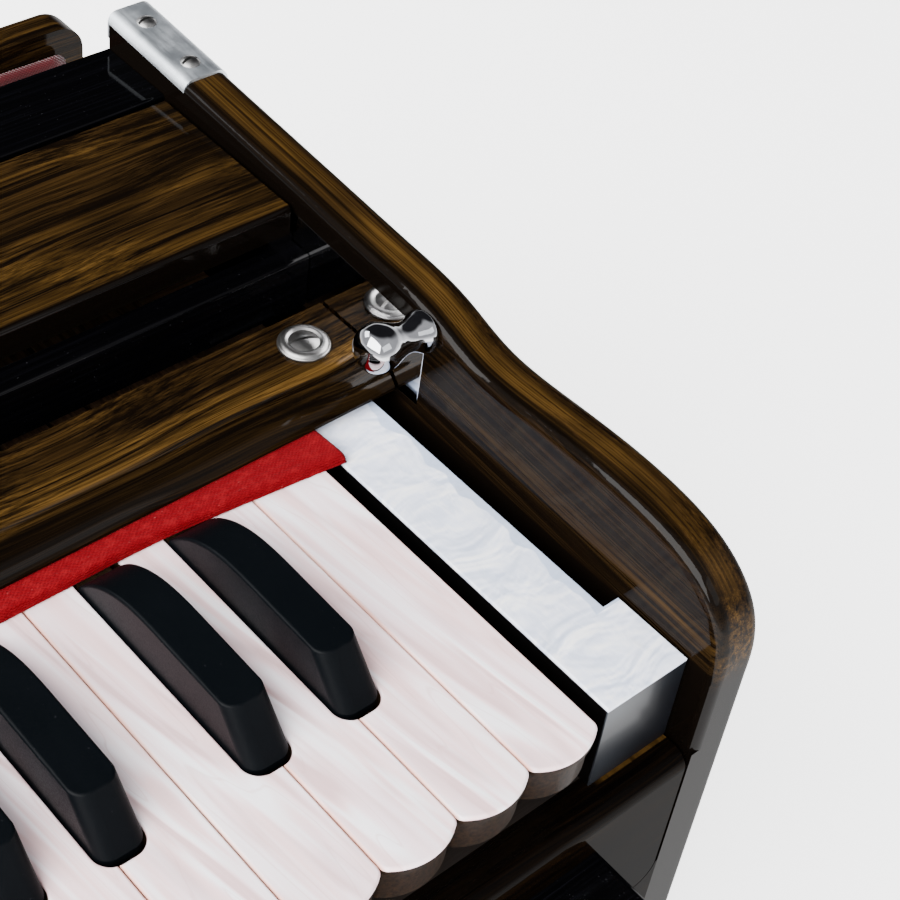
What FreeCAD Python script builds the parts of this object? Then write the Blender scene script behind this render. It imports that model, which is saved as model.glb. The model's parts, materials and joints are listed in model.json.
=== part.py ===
import FreeCAD, Part
import math
import os

# A hand-pumped reed organ (portable harmonium) with thirty keys, from C up to F.
# Lengths are millimetres.  The sub-parts are laid out in a playing frame: x runs along the
# keyboard from its middle, y runs back from the front of the end blocks, and z is height above
# the white keys.  save() moves them so that the origin is under the middle of the instrument.

Vector = FreeCAD.Vector

# ---- driving dimensions: keyboard -------------------------------------------------------------
OCTAVE = ["c", "c_sharp", "d", "d_sharp", "e", "f", "f_sharp", "g", "g_sharp", "a", "a_sharp", "b"]
KEY_COUNT = 30
PITCH = 22.0                 # from one white key to the next
KEY_GAP = 0.35               # between neighbouring white keys
KEY_FRONT = -5.5             # tip of the bowed front of a white key
KEY_CORNER_Y = -1.4          # where the bowed front meets the sides
PEARL = 2.4                  # thickness of the white covering
PEARL_END = 113.0            # its back edge, hidden under the felt
PEARL_EDGE = 0.7             # rounding of its edges
LEVER_BOTTOM = -13.0
LEVER_END = 196.0
FRONT_INSET = 1.3            # the wood under the covering stands back by this
BLACK_WIDTH = 12.3
BLACK_TOP_WIDTH = 11.9
BLACK_HEIGHT = 12.6
BLACK_FRONT_LOW = 34.6       # front of a black key level with the white keys
BLACK_FRONT_HIGH = 44.6      # and at its top
BLACK_END = 103.5
NOTCH_GAP = 0.45             # beside a black key, in its notch
NOTCH_FRONT = 33.0
NOTCH_RADIUS = 5.0
BLACK_SHIFT = {"c_sharp": -1.5, "d_sharp": 2.7, "f_sharp": -2.9, "g_sharp": 0.0, "a_sharp": 2.9}
PIVOT_Y = 128.0
PIVOT_Z = -8.0
ROD_RADIUS = 1.5
ROD_PLAY = 0.05
PALLET = (152.0, 190.0)      # front and back of the leather pallet under a lever

# ---- driving dimensions: case -----------------------------------------------------------------
BELOW_KEYS = 150.0           # height of the white keys above the table
END_GAP = 4.75               # from the last white key to the end block
BLOCK_WIDTH = 27.0
BLOCK_STEP = 5.3             # the end block is this much narrower behind its front
BLOCK_STEP_Y = 24.0
CHEEK_GAP = 0.7
BOARD = 14.5                 # thickness of the side boards
BASE = 12.0                  # thickness of the bottom board
CASE_FRONT = -9.0
CASE_BACK = 244.0
SHELF = -30.0                # level that the end blocks stand on
PANEL_LOW = -82.0            # bottom of the front board
STRAP_START = 208.0
STRAP_SCREWS = (215.0, 236.0)
RAIL_SLOPE = 0.062           # the side boards rise towards the back
ROUND = 3.2                  # rounding of the side boards' edges
COVER_FRONT = 157.0
COVER_BACK = 214.4
COVER_TOP = 34.0
COVER_THICK = 9.0
SCREW_Y = 132.2
RAIL_TOP = 10.0
RAIL_BOTTOM = 2.8
PLATE = (102.4, 168.0)       # front and back of the polished plates on the inner faces
PLATE_LOW = 3.2
PLATE_DROP = 8.0             # their top edge lies this far below the top of the side boards
PLATE_THICK = 0.5

# ---- driving dimensions: stops, bellows and catches ----------------------------------------------
BOX_HALF = 201.3
BOX_FRONT = -31.0
BOX_TOP = -45.0
BOX_LOW = -90.0
BOX_WALL = 5.0
STOP_PLACES = [-120.0, 0.0, 120.0]
STOP_Z = -66.0
STOP_ROD = 3.6
FOLD_DEPTH = 28.0            # the folded bellows, front to back
FOLDS = 5
BELLOWS_HALF = 240.0
BELLOWS_THICK = 12.0
BELLOWS_TOP = 24.0
BELLOWS_LOW = -136.9
CATCH_PIVOT = (226.0, 4.0)
CATCH_REACH = 52.0

# ---- worked out from them -----------------------------------------------------------------------
NAMES = [OCTAVE[i % 12] for i in range(KEY_COUNT)]
WHITES = [i for i in range(KEY_COUNT) if "sharp" not in NAMES[i]]
HALF_KEYS = len(WHITES) * PITCH / 2
BLOCK_IN = HALF_KEYS + END_GAP
CHEEK = BLOCK_IN + BLOCK_WIDTH + CHEEK_GAP
OUTSIDE = CHEEK + BOARD
BASE_Z = -BELOW_KEYS + BASE
BOARD_Y = CASE_BACK + FOLD_DEPTH
BACK_FACE = BOARD_Y + BELLOWS_THICK
HINGE_Y = BACK_FACE + 2.2
HINGE_Z = -135.6
BASE_BACK = BACK_FACE + 4.6
KNOB_FRONT = -49.0
MIDDLE_Y = (KNOB_FRONT + BASE_BACK) / 2
SCREW_X = BLOCK_IN + 12.7
COVER_PIVOT = (COVER_BACK + 1.2, COVER_TOP + 1.8)
HOME = Vector(0, -MIDDLE_Y, BELOW_KEYS)


# ---- helpers ----------------------------------------------------------------------------------
def box(x0, x1, y0, y1, z0, z1):
    return Part.makeBox(x1 - x0, y1 - y0, z1 - z0, Vector(x0, y0, z0))


def rod(radius, start, end):
    start, end = Vector(*start), Vector(*end)
    return Part.makeCylinder(radius, (end - start).Length, start, end - start)


def edges_at(shape, test):
    """Edges whose middle point (x, y, z) and direction pass the test."""
    found = []
    for edge in shape.Edges:
        middle = edge.valueAt((edge.FirstParameter + edge.LastParameter) / 2)
        size = edge.BoundBox
        if test(middle, size):
            found.append(edge)
    return found


def rounded(shape, radius, test):
    return shape.makeFillet(radius, edges_at(shape, test))


def face_of(edges):
    return Part.Face(Part.Wire(Part.__sortEdges__(edges)))


def line(a, b):
    return Part.LineSegment(Vector(*a), Vector(*b)).toShape()


def arc(a, b, c):
    return Part.Arc(Vector(*a), Vector(*b), Vector(*c)).toShape()


def polygon(points):
    return Part.Face(Part.makePolygon([Vector(*p) for p in points + points[:1]]))


def mirrored(shape):
    return shape.mirror(Vector(0, 0, 0), Vector(1, 0, 0))


def both_sides(shape):
    return [shape, mirrored(shape)]


def fused(*shapes):
    return shapes[0].multiFuse(list(shapes[1:])).removeSplitter()


def save(node, *solids):
    shape = Part.Compound([s for s in solids]) if len(solids) > 1 else solids[0]
    shape = shape.copy()
    shape.translate(HOME)
    for solid in shape.Solids:
        if not solid.isValid() or solid.Volume <= 0:
            raise RuntimeError(node + " holds a bad solid")
    shape.exportStep("parts/" + node + ".step")
    print(node, len(shape.Solids), round(shape.Volume / 1000, 2), "cm3")


# ---- keys ---------------------------------------------------------------------------------------
def seam_before(index):
    """x of the seam at the left of the white key that is at, or next after, this key."""
    return -HALF_KEYS + PITCH * sum(1 for w in WHITES if w < index)


def black_centre(index):
    return seam_before(index) + BLACK_SHIFT[NAMES[index]]


def notch(index):
    """The space that a black key needs between its two white neighbours, seen from above."""
    half = BLACK_WIDTH / 2 + NOTCH_GAP
    x = black_centre(index)
    space = box(x - half, x + half, NOTCH_FRONT, LEVER_END + 5, LEVER_BOTTOM - 5, 20)
    return rounded(space, NOTCH_RADIUS, lambda m, s: m.y < NOTCH_FRONT + 1 and s.ZLength > 10)


def white_plan(left, right, front, corner_y, back):
    """Outline of a white key from above, with a bowed front."""
    middle = (left + right) / 2
    return face_of([
        arc((left, corner_y, 0), (middle, front, 0), (right, corner_y, 0)),
        line((right, corner_y, 0), (right, back, 0)),
        line((right, back, 0), (left, back, 0)),
        line((left, back, 0), (left, corner_y, 0)),
    ])


def pallet(x, width):
    """Leather-faced pad that covers the key's hole in the sound board."""
    return box(x - width / 2, x + width / 2, PALLET[0], PALLET[1], LEVER_BOTTOM - 2.6, LEVER_BOTTOM)


def pivot_hole():
    return rod(ROD_RADIUS + ROD_PLAY, (-300, PIVOT_Y, PIVOT_Z), (300, PIVOT_Y, PIVOT_Z))


def key_centre(index):
    """Middle of the part of the key that passes under the press rail."""
    left, right = tail_limits(index)
    return (left + right) / 2


def tail_limits(index):
    """Left and right of a key's lever behind the playing part."""
    if index not in WHITES:
        x = black_centre(index)
        return x - BLACK_WIDTH / 2 + 1.2, x + BLACK_WIDTH / 2 - 1.2
    left = seam_before(index) + KEY_GAP / 2
    right = left + PITCH - KEY_GAP
    reach = BLACK_WIDTH / 2 + NOTCH_GAP
    if index > 0 and index - 1 not in WHITES:
        left = black_centre(index - 1) + reach
    if index + 1 < KEY_COUNT and index + 1 not in WHITES:
        right = black_centre(index + 1) - reach
    return left, right


def white_key(index):
    left = seam_before(index) + KEY_GAP / 2
    right = left + PITCH - KEY_GAP
    neighbours = [i for i in (index - 1, index + 1) if 0 <= i < KEY_COUNT and i not in WHITES]
    cover = white_plan(left, right, KEY_FRONT, KEY_CORNER_Y, PEARL_END)
    cover = cover.extrude(Vector(0, 0, -PEARL))
    cover = rounded(cover, 2.6, lambda m, s: m.y < KEY_CORNER_Y + 0.1 and s.ZLength > 2)
    lever = white_plan(left + 0.1, right - 0.1, KEY_FRONT + FRONT_INSET,
                       KEY_CORNER_Y + FRONT_INSET, LEVER_END)
    lever = lever.extrude(Vector(0, 0, LEVER_BOTTOM + PEARL))
    lever.translate(Vector(0, 0, -PEARL))
    lever = rounded(lever, 2.0, lambda m, s: m.y < 0.5 and s.ZLength > 5)
    for neighbour in neighbours:
        cover = cover.cut(notch(neighbour))
        lever = lever.cut(notch(neighbour))
    cover = rounded(cover, PEARL_EDGE, lambda m, s: abs(m.z) < 0.01 and m.y < PEARL_END - 0.5)
    lever = lever.cut(pivot_hole())
    pad = pallet(key_centre(index), min(10.0, tail_limits(index)[1] - tail_limits(index)[0] - 1.5))
    return [cover, lever, pad]


def black_plan(width, front, radius, z):
    left, right = -width / 2, width / 2
    back = BLACK_END + 10
    corner = radius * (1 - math.sqrt(0.5))
    return Part.Wire([
        line((left, back, z), (left, front + radius, z)),
        arc((left, front + radius, z), (left + corner, front + corner, z),
            (left + radius, front, z)),
        line((left + radius, front, z), (right - radius, front, z)),
        arc((right - radius, front, z), (right - corner, front + corner, z),
            (right, front + radius, z)),
        line((right, front + radius, z), (right, back, z)),
        line((right, back, z), (left, back, z)),
    ])


def black_key(index):
    """Raised black key: slanted front, sides that lean in a little, and a top that falls away
    at the back to pass under the felt."""
    low, high = -PEARL, BLACK_HEIGHT + 1.5
    slant = (BLACK_FRONT_HIGH - BLACK_FRONT_LOW) / BLACK_HEIGHT
    foot = black_plan(BLACK_WIDTH, BLACK_FRONT_LOW, 4.0, 0)
    body = Part.makeLoft([
        foot,
        black_plan(BLACK_TOP_WIDTH, BLACK_FRONT_LOW + slant * high, 4.4, high),
    ], True, True)
    body = body.fuse(Part.Face(foot).extrude(Vector(0, 0, low)))
    h = BLACK_HEIGHT
    top = Part.BSplineCurve()
    top.interpolate([Vector(-20, y, z) for y, z in [
        (20, h - 1.2), (45, h - 0.1), (66, h + 0.35), (84, h - 0.5), (94, h - 4.4), (102.6, 0.3),
    ]])
    side = face_of([
        top.toShape(),
        line((-20, 102.6, 0.3), (-20, 102.6, low - 1)),
        line((-20, 102.6, low - 1), (-20, 20, low - 1)),
        line((-20, 20, low - 1), (-20, 20, h - 1.2)),
    ])
    body = body.common(side.extrude(Vector(40, 0, 0)))
    body = rounded(body, 0.8, lambda m, s: m.z > 0.8 and m.y < 102 and (
        s.YLength > 20 or (m.z > h - 1.5 and s.ZLength < 1.5)))
    body.translate(Vector(black_centre(index), 0, 0))
    left, right = tail_limits(index)
    lever = box(left, right, BLACK_FRONT_LOW + 4, LEVER_END, LEVER_BOTTOM, low)
    lever = lever.cut(pivot_hole())
    return [body, lever, pallet(key_centre(index), right - left - 1)]


# ---- case boards ----------------------------------------------------------------------------------
def rail_height(y):
    """Top of the side boards on their straight stretch."""
    return 36.4 + RAIL_SLOPE * (y - 112)


def cheek_outline(x):
    """Side view of a side board: upright front, a long lobe beside the keys, a dip, then the
    straight rail behind it."""
    curve = Part.BSplineCurve()
    points = [(CASE_FRONT, -6), (CASE_FRONT, 0), (-8.4, 6), (-6.0, 13.5), (0.5, 21.6), (11, 27.6),
              (25, 30.6), (42, 31.3), (60, 30.4), (74, 29.6), (84, 30.0), (92, 31.7), (101, 34.4)]
    points += [(y, rail_height(y)) for y in (113, 125, 145, 170, 205, CASE_BACK)]
    curve.interpolate([Vector(x, y, z) for y, z in points])
    return face_of([
        line((x, CASE_FRONT, BASE_Z), (x, CASE_FRONT, -6)),
        curve.toShape(),
        line((x, CASE_BACK, rail_height(CASE_BACK)), (x, CASE_BACK, BASE_Z)),
        line((x, CASE_BACK, BASE_Z), (x, CASE_FRONT, BASE_Z)),
    ])


def plate_outline(x):
    """Side view of the polished plate let into the inner face of a side board."""
    front, back = PLATE
    return polygon([(x, front, PLATE_LOW), (x, back, PLATE_LOW),
                    (x, back, rail_height(back) - PLATE_DROP),
                    (x, front, rail_height(front) - PLATE_DROP)])


def cheek_plate():
    plate = plate_outline(CHEEK + 0.02).extrude(Vector(PLATE_THICK, 0, 0))
    return plate.cut(knob_screw())


def right_side_board():
    board = cheek_outline(CHEEK).extrude(Vector(BOARD, 0, 0))
    split = box(CHEEK - 5, OUTSIDE + 5, -20, CASE_BACK + 5, BASE_Z - 5, SHELF)
    upper, lower = board.cut(split), board.common(split)

    def on_rim(middle, size):
        straight = abs(middle.y - CASE_FRONT) < 0.01 and size.ZLength > 20
        top = middle.z > SHELF + 5 and size.XLength < 0.01 and size.YLength > 50
        return straight or top

    upper = rounded(upper, ROUND, on_rim)
    lower = rounded(lower, ROUND, lambda m, s: abs(m.y - CASE_FRONT) < 0.01
                    and m.x > OUTSIDE - 0.01 and s.ZLength > 20)
    board = upper.fuse(lower).removeSplitter()
    board = board.cut(plate_outline(CHEEK - 1).extrude(Vector(1.04 + PLATE_THICK, 0, 0)))
    board = board.cut(rod(ROD_RADIUS, (CHEEK - 1, PIVOT_Y, PIVOT_Z), (CHEEK + 8, PIVOT_Y, PIVOT_Z)))
    for hole in [knob_screw(), catch_screw_hole()] + [strap_screw(y) for y in STRAP_SCREWS]:
        board = board.cut(hole)
    return board


def front_board():
    """Panel under the keys that carries the stop box; its lower corners are round."""
    half = CHEEK - 1.1
    board = box(-half, half, CASE_FRONT, 3, PANEL_LOW, SHELF)
    board = rounded(board, 7.0, lambda m, s: s.YLength > 5 and m.z < PANEL_LOW + 1)
    board = rounded(board, 5.0, lambda m, s: m.z > SHELF - 1 and m.y < CASE_FRONT + 1
                    and s.XLength > 100)
    for x in STOP_PLACES:
        board = board.cut(rod(STOP_ROD + 0.08, (x, -20, STOP_Z), (x, 10, STOP_Z)))
    return board


def front_rail():
    """Lower rail of the front, hollowed at its top to take the front board with a thin gap."""
    gap = 0.45
    half = CHEEK - 1.1 + gap
    rail = box(-CHEEK, CHEEK, CASE_FRONT, 3, BASE_Z, PANEL_LOW + 6)
    space = box(-half, half, CASE_FRONT - 1, 4, PANEL_LOW - gap, SHELF)
    space = rounded(space, 7.0 + gap, lambda m, s: s.YLength > 5 and m.z < PANEL_LOW + 1)
    return rail.cut(space)


def bottom_board():
    edge = OUTSIDE + 6
    board = box(-edge, edge, CASE_FRONT - 6, BASE_BACK, -BELOW_KEYS, BASE_Z)
    board = rounded(board, 6.0, lambda m, s: s.ZLength > 5)
    return rounded(board, 4.0, lambda m, s: m.z > BASE_Z - 0.01)


def back_board():
    """Back wall of the case, with the holes that pass the wind from the bellows."""
    board = box(-CHEEK, CHEEK, CASE_BACK - 10, CASE_BACK, BASE_Z, COVER_TOP - 8.3)
    for row in range(2):
        for column in range(6):
            x, z = (column - 2.5) * 44, -96 + 34 * row
            board = board.cut(rod(8, (x, CASE_BACK - 20, z), (x, CASE_BACK + 10, z)))
    return board


def stop_box():
    """Box along the front that the stop rods come out of, open at its back."""
    shell = box(-BOX_HALF, BOX_HALF, BOX_FRONT, CASE_FRONT, BOX_LOW, BOX_TOP)
    shell = rounded(shell, 2.5, lambda m, s: m.y < BOX_FRONT + 0.01 or
                    (s.YLength > 10 and m.z > BOX_TOP - 0.01))
    room = box(BOX_WALL - BOX_HALF, BOX_HALF - BOX_WALL, BOX_FRONT + BOX_WALL, CASE_FRONT + 1,
               BOX_LOW + BOX_WALL, BOX_TOP - BOX_WALL)
    shell = shell.cut(room)
    for x in STOP_PLACES:
        shell = shell.cut(rod(STOP_ROD + 0.08, (x, BOX_FRONT - 5, STOP_Z), (x, 0, STOP_Z)))
    return shell


def sound_board():
    """Key bed in front, and behind it the thicker board with a hole for each key's reed."""
    board = fused(box(-CHEEK, CHEEK, 3, CASE_BACK - 10, SHELF - 8, SHELF),
                  box(-CHEEK, CHEEK, 112, CASE_BACK - 10, SHELF - 8, LEVER_BOTTOM - 3))
    for index in range(KEY_COUNT):
        x = key_centre(index)
        hole = box(x - 3, x + 3, PALLET[0] + 5, PALLET[1] - 5, SHELF - 10, 0)
        board = board.cut(hole)
    return board


def reed(index):
    """Brass plate with a slot and, fixed over it at one end, the tongue that sounds."""
    x = key_centre(index)
    top = SHELF - 8
    tongue = 16 + 14 * (1 - index / KEY_COUNT)
    start = PALLET[0] + 6
    plate = box(x - 4.5, x + 4.5, PALLET[0], PALLET[1], top - 1.6, top)
    plate = plate.cut(box(x - 1.6, x + 1.6, start, start + tongue, top - 2, top + 1))
    blade = box(x - 1.3, x + 1.3, start - 4, start + tongue - 0.4, top - 2.0, top - 1.6)
    return plate.fuse(blade)


def pleated(half_width, low, high, start, end, folds, depth, axis):
    """Closed zigzag ring, as of folded cloth, along +y or -z, with its middle left open."""
    def ring(grow, along):
        x0, x1, z0, z1 = -half_width - grow, half_width + grow, low - grow, high + grow
        if axis == "y":
            corners = [(x0, along, z0), (x1, along, z0), (x1, along, z1), (x0, along, z1)]
        else:
            corners = [(x0, z0, along), (x1, z0, along), (x1, z1, along), (x0, z1, along)]
        return Part.makePolygon([Vector(*c) for c in corners + corners[:1]])

    step = (end - start) / (2 * folds)
    rings = [ring(0 if i % 2 == 0 else depth, start + i * step) for i in range(2 * folds + 1)]
    outside = Part.makeLoft(rings, True, True)
    inside = Part.makeLoft([ring(-3, start - step), ring(-3, end + step)], True, True)
    return outside.cut(inside)


def reservoir():
    """Spring-loaded wind store that hangs under the sound board."""
    half = 206
    wall = pleated(half, 40, 214, SHELF - 12, -104, 4, 6, "z")
    lid = box(-half - 6, half + 6, 34, 220, -112, -104)
    ledge = box(-half - 6, half + 6, 34, 220, SHELF - 12, SHELF - 8.2)
    ledge = ledge.cut(box(3 - half, half - 3, 43, 211, -60, 0))
    return [fused(wall, lid, ledge)]


def key_spring(index):
    """Leaf spring, bent to a V, that lifts the key close to its pivot."""
    x = key_centre(index) - 2
    tip = LEVER_BOTTOM - 1.6
    side = polygon([(x, 60, SHELF), (x, 104, SHELF), (x, 104, SHELF + 0.6),
                    (x, 63, SHELF + 0.6), (x, 108, tip - 0.7), (x, 110, tip - 0.8),
                    (x, 110, tip - 0.2), (x, 108, tip), (x, 60, SHELF + 0.9)])
    return side.extrude(Vector(4, 0, 0))


def press_rail():
    """Moulded rail over the key levers: flat top, a small step and a rounded nose."""
    x = -(CHEEK - 0.6)
    side = face_of([
        line((x, 110.6, RAIL_BOTTOM), (x, 110.6, RAIL_BOTTOM + 1.0)),
        arc((x, 110.6, RAIL_BOTTOM + 1.0), (x, 113.6, RAIL_BOTTOM + 4.1), (x, 118.6, RAIL_BOTTOM + 5.2)),
        line((x, 118.6, RAIL_BOTTOM + 5.2), (x, 120.6, RAIL_BOTTOM + 5.2)),
        arc((x, 120.6, RAIL_BOTTOM + 5.2), (x, 121.2, RAIL_TOP - 0.6), (x, 122.9, RAIL_TOP)),
        line((x, 122.9, RAIL_TOP), (x, 143.0, RAIL_TOP)),
        arc((x, 143.0, RAIL_TOP), (x, 143.4, RAIL_TOP - 0.2), (x, 143.6, RAIL_TOP - 0.6)),
        line((x, 143.6, RAIL_TOP - 0.6), (x, 143.6, RAIL_BOTTOM)),
        line((x, 143.6, RAIL_BOTTOM), (x, 110.6, RAIL_BOTTOM)),
    ])
    rail = side.extrude(Vector(-2 * x, 0, 0))
    for side_sign in (-1, 1):
        sx = side_sign * SCREW_X
        rail = rail.cut(rod(2.1, (sx, SCREW_Y, 0), (sx, SCREW_Y, RAIL_TOP + 5)))
    return rail


def right_end_block():
    """Pearl-faced block between the keys and the cheek, stepped narrower behind its front."""
    narrow = BLOCK_IN + BLOCK_WIDTH - BLOCK_STEP
    block = fused(box(BLOCK_IN, BLOCK_IN + BLOCK_WIDTH, 0, BLOCK_STEP_Y, SHELF, 0),
                  box(BLOCK_IN, narrow, BLOCK_STEP_Y - 1, 143.6, SHELF, 0))
    block = rounded(block, 0.5, lambda m, s: m.z > -0.01 and m.y < 143)
    riser = box(BLOCK_IN + 1, narrow - 1, 114.6, 143.4, SHELF, RAIL_BOTTOM)
    foot = box(BLOCK_IN - 1, OUTSIDE, 112, 150, SHELF - 20, LEVER_BOTTOM - 3)
    block = fused(block, riser).cut(foot)
    block = block.cut(rod(ROD_RADIUS, (BLOCK_IN - 5, PIVOT_Y, PIVOT_Z), (OUTSIDE, PIVOT_Y, PIVOT_Z)))
    return block.cut(rod(1.8, (SCREW_X, SCREW_Y, -13.5), (SCREW_X, SCREW_Y, 10)))


def cup_washer():
    """Pressed cup washer, dished to take a countersunk head."""
    section = face_of([
        line((4.3, 0, 0), (7.1, 0, 0)),
        arc((7.1, 0, 0), (7.3, 0, 0.5), (6.9, 0, 1.1)),
        arc((6.9, 0, 1.1), (5.9, 0, 1.9), (4.9, 0, 1.9)),
        line((4.9, 0, 1.9), (4.3, 0, 1.5)),
        line((4.3, 0, 1.5), (4.3, 0, 0)),
    ])
    washer = section.revolve(Vector(0, 0, 0), Vector(0, 0, 1), 360)
    washer.translate(Vector(SCREW_X, SCREW_Y, RAIL_TOP))
    return washer


def domed_head(radius, rise, depth):
    """Screw head, domed at the top (z = rise) and with a straight slot across it."""
    section = face_of([
        line((0, 0, -depth), (radius, 0, -depth)),
        line((radius, 0, -depth), (radius, 0, 0)),
        arc((radius, 0, 0), (radius * 0.6, 0, rise * 0.68), (0, 0, rise)),
        line((0, 0, rise), (0, 0, -depth)),
    ])
    head = section.revolve(Vector(0, 0, 0), Vector(0, 0, 1), 360)
    return head.cut(box(-radius - 1, radius + 1, -0.45, 0.45, rise - 1.1, rise + 1))


def rail_screw():
    head = domed_head(4.2, 1.0, 1.5)
    shank = rod(1.8, (0, 0, -23), (0, 0, -1.4))
    screw = head.fuse(shank)
    screw.rotate(Vector(0, 0, 0), Vector(0, 0, 1), -18)
    screw.translate(Vector(SCREW_X, SCREW_Y, RAIL_TOP + 1.5))
    return screw


def strap_screw(y):
    """Round-headed screw through the top of a corner strap."""
    tilt = math.degrees(math.atan(RAIL_SLOPE))
    screw = domed_head(2.9, 1.3, 0.2).fuse(rod(1.2, (0, 0, -9), (0, 0, 0)))
    screw.rotate(Vector(0, 0, 0), Vector(1, 0, 0), tilt)
    screw.translate(Vector(CHEEK + BOARD / 2, y, rail_height(y) + 0.9))
    return screw


def catch_screw():
    """Pivot screw of a bellows catch; its shoulder holds the catch off the side board."""
    y, z = CATCH_PIVOT
    head = domed_head(4.6, 1.4, 0.4)
    head.rotate(Vector(0, 0, 0), Vector(0, 1, 0), 90)
    head.translate(Vector(OUTSIDE + 4.4, y, z))
    shank = rod(1.9, (OUTSIDE - 8, y, z), (OUTSIDE + 4.2, y, z))
    collar = rod(3.6, (OUTSIDE, y, z), (OUTSIDE + 1.2, y, z))
    return fused(head, shank, collar)


def catch_screw_hole():
    y, z = CATCH_PIVOT
    return rod(1.9, (OUTSIDE - 8, y, z), (OUTSIDE + 5, y, z))


def chamber_boards():
    """Black boards of the reed chamber: front batten, rear deck and the cover's end cleats."""
    half = CHEEK - 0.2
    batten = box(-half, half, 149.6, 157.4, 4.8, 22)
    batten = rounded(batten, 1.2, lambda m, s: m.z > 21.9 and m.y < 150 and s.XLength > 100)
    deck = box(-half, half, COVER_BACK + 2.4, CASE_BACK, COVER_TOP - 8.3, COVER_TOP)
    deck = rounded(deck, 1.0, lambda m, s: m.z > COVER_TOP - 0.1 and m.y < COVER_BACK + 3
                   and s.XLength > 100)
    cleat = box(half - 8, half, 157.4, COVER_BACK, 14, COVER_TOP - COVER_THICK - 0.3)
    return [batten, deck] + both_sides(cleat)


def top_cover():
    half = CHEEK - 1.0
    cover = box(-half, half, COVER_FRONT, COVER_BACK, COVER_TOP - COVER_THICK, COVER_TOP)
    cover = rounded(cover, 1.6, lambda m, s: m.z > COVER_TOP - 0.01 and m.y < COVER_FRONT + 0.1)
    cover = rounded(cover, 0.8, lambda m, s: m.z > COVER_TOP - 0.01 and abs(m.x) > half - 0.1)
    return cover


# ---- hinges -----------------------------------------------------------------------------------------
def hinge_knuckles(x, y, z, radius, length, moving):
    """Outer knuckles and pin, or for the moving leaf the middle knuckle with its bore."""
    third = length / 6
    if moving:
        middle = rod(radius, (x - third + 0.2, y, z), (x + third - 0.2, y, z))
        return [middle.cut(rod(0.95, (x - length, y, z), (x + length, y, z)))]
    ends = [rod(radius, (x - 3 * third, y, z), (x - third, y, z)),
            rod(radius, (x + third, y, z), (x + 3 * third, y, z))]
    return ends + [rod(0.9, (x - 3 * third, y, z), (x + 3 * third, y, z))]


def cover_leaf(x, moving):
    y, z = COVER_PIVOT
    radius, length = 1.8, 32.0
    top = COVER_TOP
    if moving:
        leaf = box(x - length / 6 + 0.2, x + length / 6 - 0.2, y - 1.6, y, top + 0.02, top + 1.2)
        flap = box(x - length / 2, x + length / 2, y - 12, y - 2.2, top, top + 0.9)
        return fused(*hinge_knuckles(x, y, z, radius, length, True), flap,
                     box(x - length / 6 + 0.2, x + length / 6 - 0.2, y - 3, y - 1.2, top, top + 0.9),
                     leaf.cut(rod(0.95, (x - length, y, z), (x + length, y, z))))
    flap = box(x - length / 2, x + length / 2, y + 2.2, y + 12, top, top + 0.9)
    joins = [box(x + s * length / 3 - length / 6, x + s * length / 3 + length / 6,
                 y + 1.2, y + 3, top, top + 0.9) for s in (-1, 1)]
    return fused(flap, *joins, *hinge_knuckles(x, y, z, radius, length, False))


def bellows_leaf(x, moving):
    y, z = HINGE_Y, HINGE_Z
    radius, length = 2.0, 42.0
    if moving:
        flap = box(x - length / 2, x + length / 2, BACK_FACE, BACK_FACE + 0.9, z + 2.4, z + 16)
        join = box(x - length / 6 + 0.2, x + length / 6 - 0.2, BACK_FACE, BACK_FACE + 0.9,
                   z, z + 3)
        return fused(flap, join, *hinge_knuckles(x, y, z, radius, length, True))
    parts = hinge_knuckles(x, y, z, radius, length, False)
    joins = [box(x + s * length / 3 - length / 6, x + s * length / 3 + length / 6,
                 y - 10, y, BASE_Z, BASE_Z + 0.8) for s in (-1, 1)]
    return fused(*joins, *parts)


# ---- fittings -----------------------------------------------------------------------------------------
KNOB_BASE = Vector(CHEEK, 102.9, 29.6)
KNOB_TILT = 6.2              # degrees that the knob points above level


def placed_on_cheek(shape):
    """Turns a shape made along +z so that it stands out from the right cheek."""
    shape.rotate(Vector(0, 0, 0), Vector(0, 1, 0), -90 + KNOB_TILT)
    shape.translate(KNOB_BASE)
    return shape


def knob_screw():
    return placed_on_cheek(rod(1.5, (0, 0, -9), (0, 0, 1)))


def cheek_knob():
    """Turned knob: a collar against the cheek, a waist, and a larger bulb."""
    curve = Part.BSplineCurve()
    curve.interpolate([Vector(r, 0, z) for r, z in [
        (4.6, 0.3), (5.7, 1.0), (5.7, 2.4), (4.9, 4.2), (4.3, 6.4), (4.5, 9.0), (5.4, 11.8),
        (6.4, 14.6), (6.6, 17.0), (5.6, 19.9), (3.0, 21.7), (0.0, 22.2)]])
    section = face_of([
        curve.toShape(),
        line((0, 0, 22.2), (0, 0, 0.3)),
        line((0, 0, 0.3), (4.6, 0, 0.3)),
    ])
    knob = section.revolve(Vector(0, 0, 0), Vector(0, 0, 1), 360)
    return placed_on_cheek(knob.fuse(rod(1.5, (0, 0, -9), (0, 0, 2))))


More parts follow.
